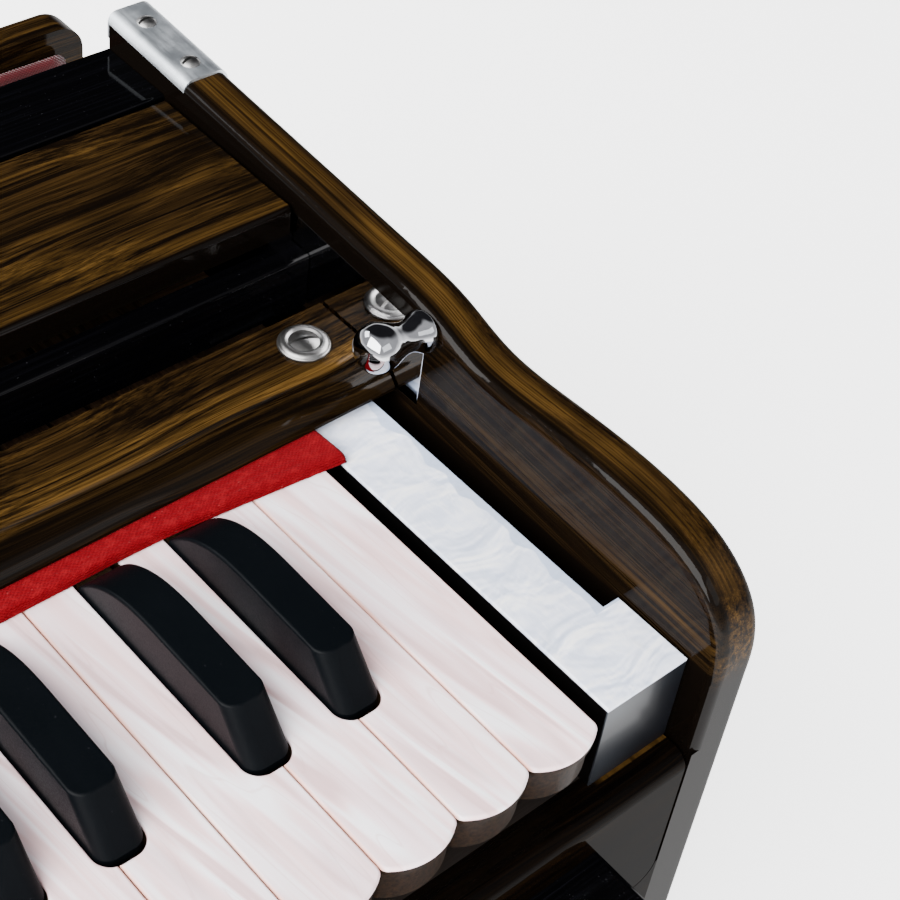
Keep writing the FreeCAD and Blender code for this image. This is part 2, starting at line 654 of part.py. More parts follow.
def corner_strap(side_board):
    """Sheet metal bent over the rear end of a side board's rail."""
    sheet, drop = 0.8, 26.0
    y0, y1 = STRAP_START, CASE_BACK + sheet
    top = rail_height(y0) + sheet
    low = top - drop
    inner, outer = CHEEK + 0.05, OUTSIDE + sheet
    r = ROUND + sheet
    c = r * (1 - math.sqrt(0.5))
    section = face_of([
        line((inner, y0, low + 18), (inner, y0, top - ROUND)),
        arc((inner, y0, top - ROUND), (inner + c * 0.8, y0, top - c * 0.8), (inner + ROUND, y0, top)),
        line((inner + ROUND, y0, top), (outer - r, y0, top)),
        arc((outer - r, y0, top), (outer - c, y0, top - c), (outer, y0, top - r)),
        line((outer, y0, top - r), (outer, y0, low)),
        line((outer, y0, low), (OUTSIDE - 2, y0, low)),
        line((OUTSIDE - 2, y0, low), (OUTSIDE - 2, y0, low + 18)),
        line((OUTSIDE - 2, y0, low + 18), (inner, y0, low + 18)),
    ])
    strap = section.extrude(Vector(0, y1 - y0, RAIL_SLOPE * (y1 - y0)))
    strap = strap.cut(side_board)
    pieces = sorted(strap.Solids, key=lambda s: s.Volume)
    strap = pieces[-1]
    for y in STRAP_SCREWS:
        strap = strap.cut(strap_screw(y))
    return strap


# ---- bellows, catches and stops --------------------------------------------------------------------------
def bellows_board():
    """Board that the player's hand pumps, with air holes in its middle."""
    board = box(-BELLOWS_HALF, BELLOWS_HALF, BOARD_Y, BACK_FACE, BELLOWS_LOW, BELLOWS_TOP)
    board = rounded(board, 9.0, lambda m, s: s.YLength > 5 and m.z > 0)
    board = rounded(board, 3.0, lambda m, s: m.y > BACK_FACE - 0.01 and m.z > BELLOWS_LOW + 1)
    frame = box(-BELLOWS_HALF + 26, BELLOWS_HALF - 26, BACK_FACE - 1.6, BACK_FACE + 1,
                BELLOWS_LOW + 30, BELLOWS_TOP - 22)
    frame = rounded(frame, 10.0, lambda m, s: s.YLength > 1)
    centre = box(-BELLOWS_HALF + 31, BELLOWS_HALF - 31, BACK_FACE - 3, BACK_FACE + 2,
                 BELLOWS_LOW + 35, BELLOWS_TOP - 27)
    centre = rounded(centre, 7.0, lambda m, s: s.YLength > 1)
    board = board.cut(frame.cut(centre))
    for row in range(2):
        for column in range(5):
            x, z = (column - 2) * 28, -70 + 28 * row
            board = board.cut(rod(6, (x, BOARD_Y - 5, z), (x, BACK_FACE + 5, z)))
    return board


def bellows_cloth():
    """Folded cloth between the case and the bellows board, and the leather flap inside it that
    lets air in through the board's holes and stops it going out."""
    folds = pleated(BELLOWS_HALF - 14, -128, 12, CASE_BACK + 0.1, BOARD_Y - 0.1, FOLDS, 6, "y")
    flap = box(-76, 76, BOARD_Y - 1.6, BOARD_Y - 0.1, -84, -28)
    return [folds, flap]


def latch_stud():
    y, z = CATCH_PIVOT[0] + CATCH_REACH, CATCH_PIVOT[1]
    return fused(rod(2.0, (BELLOWS_HALF, y, z), (OUTSIDE + 4.6, y, z)),
                 rod(4.5, (BELLOWS_HALF, y, z), (BELLOWS_HALF + 1.2, y, z)))


def right_catch():
    """Hook that swings over from the front to hold the bellows shut; shown turned forward."""
    y, z = CATCH_PIVOT
    x0, x1 = OUTSIDE + 1.4, OUTSIDE + 3.8
    arm = box(x0, x1, y, y + CATCH_REACH, z - 3.6, z + 3.6)
    ends = [rod(6.6, (x0, y, z), (x1, y, z)),
            rod(7.0, (x0, y + CATCH_REACH, z), (x1, y + CATCH_REACH, z)),
            rod(3.2, (x0, y + CATCH_REACH + 6, z + 6), (x1, y + CATCH_REACH + 6, z + 6))]
    hook = fused(arm, *ends)
    slot = fused(rod(2.6, (x0 - 1, y + CATCH_REACH, z), (x1 + 1, y + CATCH_REACH, z)),
                 box(x0 - 1, x1 + 1, y + CATCH_REACH - 2.6, y + CATCH_REACH + 2.6, z - 9, z))
    hook = hook.cut(slot)
    hook = hook.cut(rod(1.96, (x0 - 1, y, z), (x1 + 1, y, z)))
    hook.rotate(Vector(0, y, z), Vector(1, 0, 0), 180)
    return hook


def stop(x):
    """Pull knob on its rod, turned in one piece, with a round shutter at the inner end."""
    curve = Part.BSplineCurve()
    front = KNOB_FRONT
    curve.interpolate([Vector(r, y, 0) for r, y in [
        (0.0, front), (2.5, front + 0.05), (5.0, front + 0.3), (8.2, front + 1.3),
        (10.6, front + 3.8), (11.0, front + 6.6), (8.4, front + 9.6), (6.2, front + 12.6),
        (6.6, front + 15.4)]])
    section = face_of([
        curve.toShape(),
        line((6.6, front + 15.4, 0), (STOP_ROD, front + 15.4, 0)),
        line((STOP_ROD, front + 15.4, 0), (STOP_ROD, 20, 0)),
        line((STOP_ROD, 20, 0), (9, 20, 0)),
        line((9, 20, 0), (9, 23, 0)),
        line((9, 23, 0), (0, 23, 0)),
        line((0, 23, 0), (0, front, 0)),
    ])
    knob = section.revolve(Vector(0, 0, 0), Vector(0, 1, 0), 360)
    knob.translate(Vector(x, 0, STOP_Z))
    return knob


# ---- write every node -----------------------------------------------------------------------------------
def main():
    os.makedirs("parts", exist_ok=True)
    for index in range(KEY_COUNT):
        solids = white_key(index) if index in WHITES else black_key(index)
        save("key_%02d_%s" % (index + 1, NAMES[index]), *solids)

    side = right_side_board()
    save("side_board_right", side)
    save("side_board_left", mirrored(side))
    save("bottom_board", bottom_board())
    save("front_board", front_board())
    save("front_rail", front_rail())
    save("back_board", back_board())
    save("stop_box", stop_box())
    save("sound_board", sound_board())
    save("reeds", *[reed(i) for i in range(KEY_COUNT)])
    save("reservoir", *reservoir())
    save("key_rod", rod(ROD_RADIUS, (-CHEEK - 8, PIVOT_Y, PIVOT_Z), (CHEEK + 8, PIVOT_Y, PIVOT_Z)))
    save("key_springs", *[key_spring(i) for i in range(KEY_COUNT)])
    save("press_rail", press_rail())
    save("felt_strip", box(-BLOCK_IN - 2.6, BLOCK_IN + 2.6, 103.0, 114.2, 0.5, RAIL_BOTTOM - 0.1))
    save("end_blocks", *both_sides(right_end_block()))
    save("cup_washers", *both_sides(cup_washer()))
    screws = [rail_screw(), catch_screw()] + [strap_screw(y) for y in STRAP_SCREWS]
    save("screws", *[s for screw in screws for s in both_sides(screw)])
    save("chamber_boards", *chamber_boards())
    fixed = [cover_leaf(x, False) for x in (-130, 130)]
    fixed += [bellows_leaf(x, False) for x in (-150, 0, 150)]
    save("hinge_leaves", *fixed)
    save("cheek_fittings", *both_sides(cheek_knob()), *both_sides(cheek_plate()))
    save("corner_straps", *both_sides(corner_strap(side)))
    save("top_cover", top_cover(), *[cover_leaf(x, True) for x in (-130, 130)])
    save("bellows_board", bellows_board())
    save("bellows_cloth", *bellows_cloth())
    moving = [bellows_leaf(x, True) for x in (-150, 0, 150)]
    save("bellows_fittings", *both_sides(latch_stud()), *moving)
    save("catch_right", right_catch())
    save("catch_left", mirrored(right_catch()))
    for number, x in enumerate(STOP_PLACES):
        save("stop_%d" % (number + 1), stop(x))


main()
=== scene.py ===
import bpy
import json
import math
from mathutils import Matrix, Vector, noise


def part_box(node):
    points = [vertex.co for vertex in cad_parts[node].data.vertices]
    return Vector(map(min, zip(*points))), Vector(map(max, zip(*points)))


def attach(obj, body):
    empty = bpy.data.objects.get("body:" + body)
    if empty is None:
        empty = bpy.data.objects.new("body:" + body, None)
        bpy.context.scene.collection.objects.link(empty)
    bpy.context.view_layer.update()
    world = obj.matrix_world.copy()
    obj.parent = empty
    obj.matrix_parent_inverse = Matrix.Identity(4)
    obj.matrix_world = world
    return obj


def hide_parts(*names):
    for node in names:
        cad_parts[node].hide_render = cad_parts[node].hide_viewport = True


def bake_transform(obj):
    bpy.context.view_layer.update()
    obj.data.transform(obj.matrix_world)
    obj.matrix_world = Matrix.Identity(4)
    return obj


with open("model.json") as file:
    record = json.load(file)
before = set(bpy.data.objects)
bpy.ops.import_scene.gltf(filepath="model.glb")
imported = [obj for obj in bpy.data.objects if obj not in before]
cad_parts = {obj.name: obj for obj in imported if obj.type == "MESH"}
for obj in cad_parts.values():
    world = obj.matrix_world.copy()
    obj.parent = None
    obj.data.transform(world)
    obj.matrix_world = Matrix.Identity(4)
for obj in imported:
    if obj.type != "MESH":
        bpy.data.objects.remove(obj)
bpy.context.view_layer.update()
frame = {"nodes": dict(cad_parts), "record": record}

# A portable harmonium.  Lengths here are in millimetres in the playing frame of the model: x from
# the middle of the keyboard, y back from the front of the end blocks, z up from the white keys.
FRONT_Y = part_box("end_blocks")[0].y
KEY_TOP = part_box("key_01_c")[1].z
PITCH = 22.0                         # from one white key to the next
KEYS_LEFT = 9.0                      # white keys on each side of the middle
WHITE_CAP, BLACK_CAP = -1.1, -2.4    # heights where the caps of the keys end and the wood begins
BLOCK_IN, BLOCK_WIDE = 203.15, 222.0     # inner face of an end block, and how far out its front shows
BLOCK_STEP_Y, BLOCK_NARROW = 23.0, 224.4  # behind its step, an end block reaches out only this far
CHEEK = 230.45                       # inner face of a side board
RISE = 0.062                         # slope of the side boards' top edge towards the back
SIDE_TOP, SIDE_TOP_Y = 36.4, 112.0   # height of that edge, and where it is that high
COVER_FRONT, COVER_TOP = 159.6, 33.4
RAIL_STEP = (118.0, 122.0)           # the press rail climbs from its nose to its top here
KNOB_Y, KNOB_Z, KNOB_TILT = 102.9, 29.6, 6.2
PLATE_FRONT, PLATE_BACK, PLATE_LOW, PLATE_DROP = 102.4, 168.0, 3.2, 8.0
PLATE_GAP, PLATE_THICK = 0.02, 0.5
FELT_HALF, FELT_FRONT, FELT_DEPTH = 203.6, 100.0, 14.2
CASE_BACK, BOARD_Y = 244.0, 272.0    # rear face of the case, and inner face of the bellows board


def at(x, y, z):
    """A point of the playing frame, in metres in the row frame."""
    return Vector((x / 1000, FRONT_Y + y / 1000, KEY_TOP + z / 1000))


# ---- node helpers -------------------------------------------------------------------------------
def plug(tree, socket, value):
    """Links a socket into an input, or sets the input to a plain number or colour."""
    if isinstance(value, bpy.types.NodeSocket):
        tree.links.new(value, socket)
    elif hasattr(socket.default_value, "__len__") and not hasattr(value, "__len__"):
        socket.default_value = [value] * len(socket.default_value)
    elif hasattr(socket.default_value, "__len__") and len(socket.default_value) == 4:
        socket.default_value = (*value[:3], 1)
    else:
        socket.default_value = value


def node(tree, kind, settings, *inputs, out=0):
    """Adds a node.  inputs are (socket name or number, value or socket)."""
    made = tree.nodes.new("ShaderNode" + kind)
    for name, value in settings.items():
        setattr(made, name, value)
    for name, value in inputs:
        plug(tree, made.inputs[name], value)
    return made.outputs[out]


def place(tree, scale=(1, 1, 1), shift=(0, 0, 0)):
    """Object coordinates in millimetres of the playing frame, stretched per axis."""
    spot = node(tree, "TexCoord", {}, out=3)
    start = Vector((0, FRONT_Y, KEY_TOP))
    moved = node(tree, "VectorMath", {"operation": "SUBTRACT"}, (0, spot), (1, start))
    size = [1000 * s for s in scale]
    return node(tree, "VectorMath", {"operation": "MULTIPLY_ADD"}, (0, moved), (1, size), (2, shift))


def clouds(tree, vector, scale=1.0, detail=3.0, rough=0.55, twist=0.0):
    """Noise from 0 to 1, mostly near 0.5."""
    return node(tree, "TexNoise", {}, ("Vector", vector), ("Scale", scale), ("Detail", detail),
                ("Roughness", rough), ("Distortion", twist))


def calc(tree, operation, a, b=0.0, c=0.0, clamp=False):
    return node(tree, "Math", {"operation": operation, "use_clamp": clamp}, (0, a), (1, b), (2, c))


def remap(tree, value, low, high, to_low=0.0, to_high=1.0):
    """A smooth step: to_low where value is low, to_high where it is high."""
    return node(tree, "MapRange", {"interpolation_type": "SMOOTHSTEP"},
                ("Value", value), ("From Min", low), ("From Max", high),
                ("To Min", to_low), ("To Max", to_high))


def mix(tree, amount, a, b):
    return node(tree, "Mix", {"data_type": "RGBA"}, (0, amount), (6, a), (7, b), out=2)


def part_of(tree, vector, axis):
    return node(tree, "SeparateXYZ", {}, (0, vector), out=axis)


def bump(tree, height, distance, strength=1.0, under=None):
    """Relief of distance mm, laid over the relief under."""
    inputs = [("Strength", strength), ("Distance", distance / 1000), ("Height", height)]
    if under is not None:
        inputs.append(("Normal", under))
    return node(tree, "Bump", {}, *inputs)


def relief(tree, colour, here, there, gain, light, dark):
    """Paints highlight and shade into a colour, by the slope between two samples of one height, as if
    lit from one side.
    """
    rise = calc(tree, "SUBTRACT", here, there)
    colour = mix(tree, calc(tree, "MULTIPLY", rise, gain, clamp=True), colour, light)
    return mix(tree, calc(tree, "MULTIPLY", rise, -gain, clamp=True), colour, dark)


def material(name, paint, **constants):
    """A Principled material.  paint(tree) returns the sockets that vary; the rest are constants."""
    made = bpy.data.materials.new(name)
    made.use_nodes = True
    tree = made.node_tree
    shader = tree.nodes["Principled BSDF"]
    for key, value in constants.items():
        plug(tree, shader.inputs[key.replace("_", " ")], value)
    for key, value in paint(tree).items():
        plug(tree, shader.inputs[key.replace("_", " ")], value)
    return made


# ---- materials ----------------------------------------------------------------------------------
def grain(along, dark, brown, ochre, streak=0.5, wander=1.0, shift=0.0, fade=None,
          line=None, rise=0.0):
    """Dark varnish with grain brushed on in ochre, running along one axis, and climbing towards
    the back by rise.  fade(tree) is the share of black, paint or painted shade, from place to
    place, and line(tree) that of ochre, brushed streaks or a painted highlight."""
    def stretched(long, wide):
        return [long if i == along else wide for i in range(3)]

    def paint(tree):
        base = place(tree)
        drop = calc(tree, "MULTIPLY", part_of(tree, base, 1), -rise)
        base = node(tree, "VectorMath", {"operation": "ADD"}, (0, base),
                    (1, node(tree, "CombineXYZ", {}, (2, drop))))
        sway = clouds(tree, place(tree, stretched(0.006, 0.012), (shift, 3, 7)), 1.0, 2.0)
        sway = calc(tree, "MULTIPLY_ADD", sway, 26 * wander, -13 * wander)
        push = node(tree, "CombineXYZ", {}, *[(i, 0.0 if i == along else sway) for i in range(3)])
        bent = node(tree, "VectorMath", {"operation": "ADD"}, (0, base), (1, push))

        def layer(long, wide, detail, rough, offset):
            vector = node(tree, "VectorMath", {"operation": "MULTIPLY_ADD"}, (0, bent),
                          (1, stretched(long, wide)), (2, (offset, offset * 2, shift)))
            return clouds(tree, vector, 1.0, detail, rough)

        broad = remap(tree, layer(0.004, 0.060, 2.0, 0.5, 11), 0.38, 0.66)
        bands = remap(tree, layer(0.007, 0.55, 4.0, 0.65, 5), 0.36, 0.68)
        lines = remap(tree, layer(0.012, 2.6, 3.0, 0.7, 2), 0.34, 0.70)
        ground = mix(tree, lines, dark, brown)
        glow = calc(tree, "MULTIPLY", calc(tree, "MULTIPLY_ADD", broad, 0.8, 0.2), bands)
        glow = calc(tree, "MULTIPLY", glow, calc(tree, "MULTIPLY_ADD", lines, 0.8, 0.2))
        glow = calc(tree, "MULTIPLY", glow, streak * 2, clamp=True)
        shade = mix(tree, calc(tree, "MULTIPLY_ADD", bands, 0.6, 0.2), dark, ground)
        colour = mix(tree, glow, shade, ochre)
        # black: plain black paint, and on the side boards also painted shade
        if fade is not None:
            colour = mix(tree, fade(tree), colour, dark)
        # ochre: brushed streaks on the side boards, and a painted highlight on the front shelf
        if line is not None:
            colour = mix(tree, line(tree), colour, ochre)
        skin = clouds(tree, place(tree, (0.05, 0.05, 0.05)), 1.0, 4.0, 0.6)
        rough = remap(tree, skin, 0.35, 0.7, 0.30, 0.46)
        normal = bump(tree, lines, 0.02, 0.25)
        normal = bump(tree, skin, 0.25, 0.35, normal)
        return {"Base_Color": colour, "Roughness": rough, "Normal": normal}

    return paint


def side_black_and_shade(tree):
    """Where the side boards are black: painted shade low down on the cheeks, in the gap beside the
    end blocks; their front ends, darker towards the bottom; plain black along both edges of their top."""
    x = calc(tree, "ABSOLUTE", part_of(tree, place(tree), 0))
    y = part_of(tree, place(tree), 1)
    z = part_of(tree, place(tree), 2)
    blur = clouds(tree, place(tree, (0.1, 0.03, 0.2)), 1.0, 2.0)
    # painted shade: the cheeks turn black below about the key tops, in the gap beside each end block
    low = remap(tree, calc(tree, "MULTIPLY_ADD", blur, 2.0, z), 1.6, -0.2)
    low = calc(tree, "MAXIMUM", low, remap(tree, y, 96.0, 112.0))
    low = calc(tree, "MAXIMUM", low, 0.6)
    # on the cheeks: the painted shade low down, black behind y 112, and a darker tone all over
    inside = calc(tree, "MULTIPLY", calc(tree, "LESS_THAN", x, CHEEK + 0.6), low)
    end = calc(tree, "MULTIPLY", remap(tree, y, 9.0, 1.0), remap(tree, z, 6.0, -9.0))
    wobble = calc(tree, "MULTIPLY_ADD", blur, 2.4, -1.2)
    middle = calc(tree, "SUBTRACT", calc(tree, "ADD", x, wobble), CHEEK + 8.3)
    edges = calc(tree, "MULTIPLY", remap(tree, calc(tree, "ABSOLUTE", middle), 3.6, 5.4),
                 calc(tree, "GREATER_THAN", x, CHEEK + 0.6))
    edges = calc(tree, "MULTIPLY", calc(tree, "MULTIPLY", edges, 0.85), remap(tree, z, 0.0, 8.0))
    return calc(tree, "MAXIMUM", calc(tree, "MAXIMUM", inside, end), edges)


def rim_streaks(tree):
    """How much ochre is brushed along the middle of the side boards' top edge."""
    x = calc(tree, "ABSOLUTE", part_of(tree, place(tree), 0))
    facing = part_of(tree, node(tree, "NewGeometry", {}, out=1), 2)
    sway = clouds(tree, place(tree, (0.0, 0.012, 0.0), (5, 0, 0)), 1.0, 2.0)
    middle = calc(tree, "SUBTRACT", calc(tree, "MULTIPLY_ADD", sway, 3.0, x), CHEEK + 8.6)
    share = remap(tree, calc(tree, "ABSOLUTE", middle), 4.8, 1.6)
    brushed = clouds(tree, place(tree, (1.3, 0.010, 0.0), (2, 6, 0)), 1.0, 3.0, 0.65)
    patch = clouds(tree, place(tree, (0.05, 0.020, 0.0), (3, 1, 0)), 1.0, 2.0)
    share = calc(tree, "MULTIPLY", share, remap(tree, brushed, 0.38, 0.62, 0.08, 0.62))
    share = calc(tree, "MULTIPLY", share, remap(tree, patch, 0.38, 0.60, 0.25, 1.0))
    return calc(tree, "MULTIPLY", share, remap(tree, facing, 0.55, 0.85))


def shelf_edge_highlight(tree):
    """How much of a painted highlight, a thin ochre line along the shelf's back edge, shows at the foot
    of each end block.
    """
    x = calc(tree, "ABSOLUTE", part_of(tree, place(tree), 0))
    y = part_of(tree, place(tree), 1)
    width = clouds(tree, place(tree, (0.25, 0.0, 0.0)), 1.0, 3.0, 0.7)
    # painted highlight: an ochre line where the shelf's back edge catches the light
    line = remap(tree, calc(tree, "ABSOLUTE", calc(tree, "ADD", y, 0.5)), 0.85, 0.45)
    line = calc(tree, "MULTIPLY", line, calc(tree, "MULTIPLY", remap(tree, x, 204.0, 208.0),
                                             remap(tree, width, 0.3, 0.6, 0.12, 0.5)))
    shelf = calc(tree, "GREATER_THAN", part_of(tree, place(tree), 2), -30.6)
    return calc(tree, "MULTIPLY", line, shelf)


def cover_fade(tree):
    """Where the cover is plain black: its front edge, its ends, and patches of its top; and how
    far the press rail darkens towards its nose."""
    y = part_of(tree, place(tree), 1)
    z = part_of(tree, place(tree), 2)
    cover = calc(tree, "MAXIMUM", remap(tree, y, COVER_FRONT, COVER_FRONT - 1.6),
                 remap(tree, z, COVER_TOP, COVER_TOP - 0.8))
    x = calc(tree, "ABSOLUTE", part_of(tree, place(tree), 0))
    cloud = clouds(tree, place(tree, (0.012, 0.05, 0.05), (1, 4, 2)), 1.0, 2.0)
    ends = remap(tree, calc(tree, "MULTIPLY_ADD", cloud, 30.0, x), 216.0, 240.0, 0.0, 0.6)
    shade = remap(tree, cloud, 0.52, 0.37, 0.0, 0.6)
    shade = calc(tree, "MAXIMUM", shade, remap(tree, y, 169.0, 161.0, 0.0, 0.6))
    cover = calc(tree, "MAXIMUM", cover, calc(tree, "MAXIMUM", ends, shade))
    nose = remap(tree, y, RAIL_STEP[1], RAIL_STEP[0], 0.0, 0.82)
    return calc(tree, "ADD", calc(tree, "MULTIPLY", cover, calc(tree, "GREATER_THAN", y, 150.0)),
                nose, clamp=True)


def black_gloss(dark, haze):
    """Black lacquer with faint brush lines and a little dust."""
    def paint(tree):
        lines = clouds(tree, place(tree, (0.02, 1.2, 1.2)), 1.0, 4.0, 0.7)
        cloud = clouds(tree, place(tree, (0.02, 0.03, 0.03), (4, 4, 4)), 1.0, 3.0, 0.6)
        dust = remap(tree, clouds(tree, place(tree), 1.3, 1.0), 0.74, 0.80)
        colour = mix(tree, calc(tree, "MULTIPLY", remap(tree, lines, 0.45, 0.75), cloud), dark, haze)
        colour = mix(tree, calc(tree, "MULTIPLY", dust, 0.25), colour, (0.05, 0.05, 0.055))
        normal = bump(tree, cloud, 0.5, 0.3, bump(tree, lines, 0.02, 0.2))
        return {"Base_Color": colour, "Roughness": remap(tree, cloud, 0.3, 0.7, 0.22, 0.36),
                "Normal": normal}

    return paint


def key_number(tree):
    """A whole number for each white key, from the x of its left seam."""
    x = part_of(tree, place(tree), 0)
    return calc(tree, "FLOOR", calc(tree, "MULTIPLY_ADD", x, 1 / PITCH, KEYS_LEFT))


def key_levers(tree, cap_colour, cap_rough, cap_normal, edge):
    """Above the height edge, the key's cap; below it, its wooden lever, stained black in front
    and pale behind, with leather under the pallet."""
    z = part_of(tree, place(tree), 2)
    is_cap = calc(tree, "GREATER_THAN", z, edge)
    wood = clouds(tree, place(tree, (0.9, 0.03, 0.9), (2, 2, 2)), 1.0, 4.0, 0.7)
    stained = mix(tree, remap(tree, wood, 0.3, 0.7), (0.003, 0.0018, 0.0012), (0.016, 0.008, 0.004))
    pale = mix(tree, remap(tree, wood, 0.3, 0.7), (0.020, 0.011, 0.006), (0.055, 0.032, 0.017))
    y = part_of(tree, place(tree), 1)
    wooden = mix(tree, calc(tree, "GREATER_THAN", y, 12.0), stained, pale)
    leather = calc(tree, "LESS_THAN", z, -13.0)
    wooden = mix(tree, leather, wooden, (0.42, 0.33, 0.24))
    colour = mix(tree, is_cap, wooden, cap_colour)
    rough = mix(tree, is_cap, (0.6, 0.6, 0.6), cap_rough)
    normal = bump(tree, wood, 0.05, 0.4)
    facing = mix(tree, is_cap, normal, cap_normal)
    return {"Base_Color": colour, "Roughness": rough, "Normal": facing}


def pearl_key(tree):
    """Pink pearl with creases along each key, lit and shaded by painted light, stained beside the seams
    with a painted highlight beside them, and a painted shadow of the felt towards and under it.
    """
    number = key_number(tree)
    spot = place(tree)
    apart = node(tree, "CombineXYZ", {}, (0, calc(tree, "MULTIPLY", number, 31.7)),
                 (1, calc(tree, "MULTIPLY", number, 57.3)), (2, 0.0))
    own = node(tree, "VectorMath", {"operation": "ADD"}, (0, spot), (1, apart))

    def layer(scale, shift, detail, twist):
        lean = calc(tree, "MULTIPLY", part_of(tree, own, 1), 0.10)
        leaning = node(tree, "VectorMath", {"operation": "ADD"}, (0, own),
                       (1, node(tree, "CombineXYZ", {}, (0, lean))))
        vector = node(tree, "VectorMath", {"operation": "MULTIPLY_ADD"}, (0, leaning), (1, scale),
                      (2, (shift, shift, 0)))
        return clouds(tree, vector, 1.0, detail, 0.5, twist)

    drift = layer((0.12, 0.016, 0.05), 3, 2.0, 0.6)
    silk = layer((0.22, 0.014, 0.1), 9, 2.0, 0.8)
    veins = layer((0.13, 0.013, 0.1), 21, 1.0, 0.8)
    colour = mix(tree, remap(tree, drift, 0.35, 0.68), (0.85, 0.60, 0.605), (0.88, 0.71, 0.75))
    colour = mix(tree, remap(tree, silk, 0.50, 0.70, 0.0, 0.75), colour, (0.95, 0.88, 0.92))
    # painted highlight and shade on the creases, as if lit from one side
    beside = layer((0.13, 0.013, 0.1), 21.05, 1.0, 0.8)
    colour = relief(tree, colour, veins, beside, 14.0, (0.97, 0.93, 0.97), (0.66, 0.46, 0.47))
    edge = calc(tree, "ABSOLUTE", calc(tree, "SUBTRACT", veins, 0.5))
    line = remap(tree, edge, 0.0, 0.014, 0.30, 0.0)
    colour = mix(tree, line, colour, (0.60, 0.38, 0.38))
    x = part_of(tree, spot, 0)
    seam = calc(tree, "FRACT", calc(tree, "MULTIPLY_ADD", x, 1 / PITCH, KEYS_LEFT))
    seam = calc(tree, "ABSOLUTE", calc(tree, "SUBTRACT", seam, 0.5))
    tint = remap(tree, seam, 0.462, 0.491)
    colour = mix(tree, calc(tree, "MULTIPLY", tint, 0.6), colour, (0.66, 0.33, 0.20))
    # painted highlight along the rounded edges beside each seam
    seam_highlight = calc(tree, "MULTIPLY", remap(tree, seam, 0.40, 0.455), remap(tree, seam, 0.475, 0.45))
    colour = mix(tree, calc(tree, "MULTIPLY", seam_highlight, 0.35), colour, (0.90, 0.80, 0.84))
    y = part_of(tree, spot, 1)
    # painted shadow of the felt, darkening the keys towards and under it
    felt_shadow = remap(tree, y, 112.0, 88.0, 1.0, 0.0)
    colour = mix(tree, calc(tree, "MULTIPLY", felt_shadow, 0.25), colour, (0.55, 0.33, 0.33))
    normal = bump(tree, drift, 0.7, 0.35, bump(tree, veins, 1.2, 0.35))
    rough = remap(tree, drift, 0.3, 0.7, 0.24, 0.38)
    return key_levers(tree, colour, rough, normal, WHITE_CAP)


def pearl_block(tree):
    """Crinkled bluish pearl on top, its crinkles lit and shaded by painted light, and darker along the
    outer edge behind the step; dark below it, with a painted reflection, and painted shade downwards and
    in the gap by the keys.
    """
    spot = place(tree)
    ripple = clouds(tree, place(tree, (0.10, 0.05, 0.1), (5, 1, 0)), 1.0, 3.0, 0.5, 1.6)
    flakes = clouds(tree, place(tree, (0.28, 0.11, 0.2), (1, 8, 0)), 1.0, 3.0, 0.55, 2.2)
    crease = clouds(tree, place(tree, (0.050, 0.085, 0.1), (7, 2, 0)), 1.0, 3.0, 0.5, 0.7)
    beside = clouds(tree, place(tree, (0.050, 0.085, 0.1), (7.04, 2.08, 0)), 1.0, 3.0, 0.5, 0.7)
    colour = mix(tree, remap(tree, ripple, 0.35, 0.65), (0.62, 0.675, 0.81), (0.76, 0.80, 0.915))
    colour = mix(tree, remap(tree, flakes, 0.48, 0.66, 0.0, 0.5), colour, (0.84, 0.86, 0.93))
    # painted highlight and shade on the crinkles, as if lit from one side
    colour = relief(tree, colour, crease, beside, 9.5, (0.95, 0.96, 0.99), (0.47, 0.53, 0.67))
    x = calc(tree, "ABSOLUTE", part_of(tree, spot, 0))
    y = part_of(tree, spot, 1)
    rim = clouds(tree, place(tree, (0.0, 0.06, 0.0), (2, 0, 9)), 1.0, 2.0, 0.6)
    reach = calc(tree, "MULTIPLY_ADD", rim, 13.0, -3.6)
    inset = calc(tree, "SUBTRACT", BLOCK_NARROW, x)
    veil = remap(tree, calc(tree, "SUBTRACT", reach, inset), -0.3, 0.35)
    behind = calc(tree, "GREATER_THAN", y, BLOCK_STEP_Y)
    veil = calc(tree, "MULTIPLY", calc(tree, "MULTIPLY", veil, behind), 0.8)
    colour = mix(tree, veil, colour, (0.36, 0.44, 0.60))
    z = part_of(tree, spot, 2)
    # painted reflection: the block's sides are lighter towards the inner side, fading outwards
    reflection_falloff = remap(tree, x, BLOCK_IN - 0.15, BLOCK_WIDE)
    side = mix(tree, reflection_falloff, (0.030, 0.034, 0.040), (0.006, 0.007, 0.009))
    # painted shade: the sides darken downwards
    side = mix(tree, remap(tree, z, -2.0, -11.0, 0.0, 0.7), side, (0.004, 0.004, 0.005))
    # painted shade: black on the inner face, in the gap beside the last key
    inner = calc(tree, "MULTIPLY", calc(tree, "LESS_THAN", x, BLOCK_IN),
                 calc(tree, "GREATER_THAN", y, 0.4))
    side = mix(tree, inner, side, (0.0012, 0.0010, 0.0010))
    colour = mix(tree, remap(tree, z, -0.7, -1.1), colour, side)
    upper = calc(tree, "GREATER_THAN", z, -0.9)
    normal = bump(tree, calc(tree, "MULTIPLY", ripple, upper), 0.5, 0.4,
                  bump(tree, calc(tree, "MULTIPLY", crease, upper), 2.4, 0.45))
    uneven = calc(tree, "MULTIPLY", remap(tree, flakes, 0.3, 0.7, -0.08, 0.06), upper)
    return {"Base_Color": colour, "Roughness": calc(tree, "ADD", uneven, 0.28), "Normal": normal}


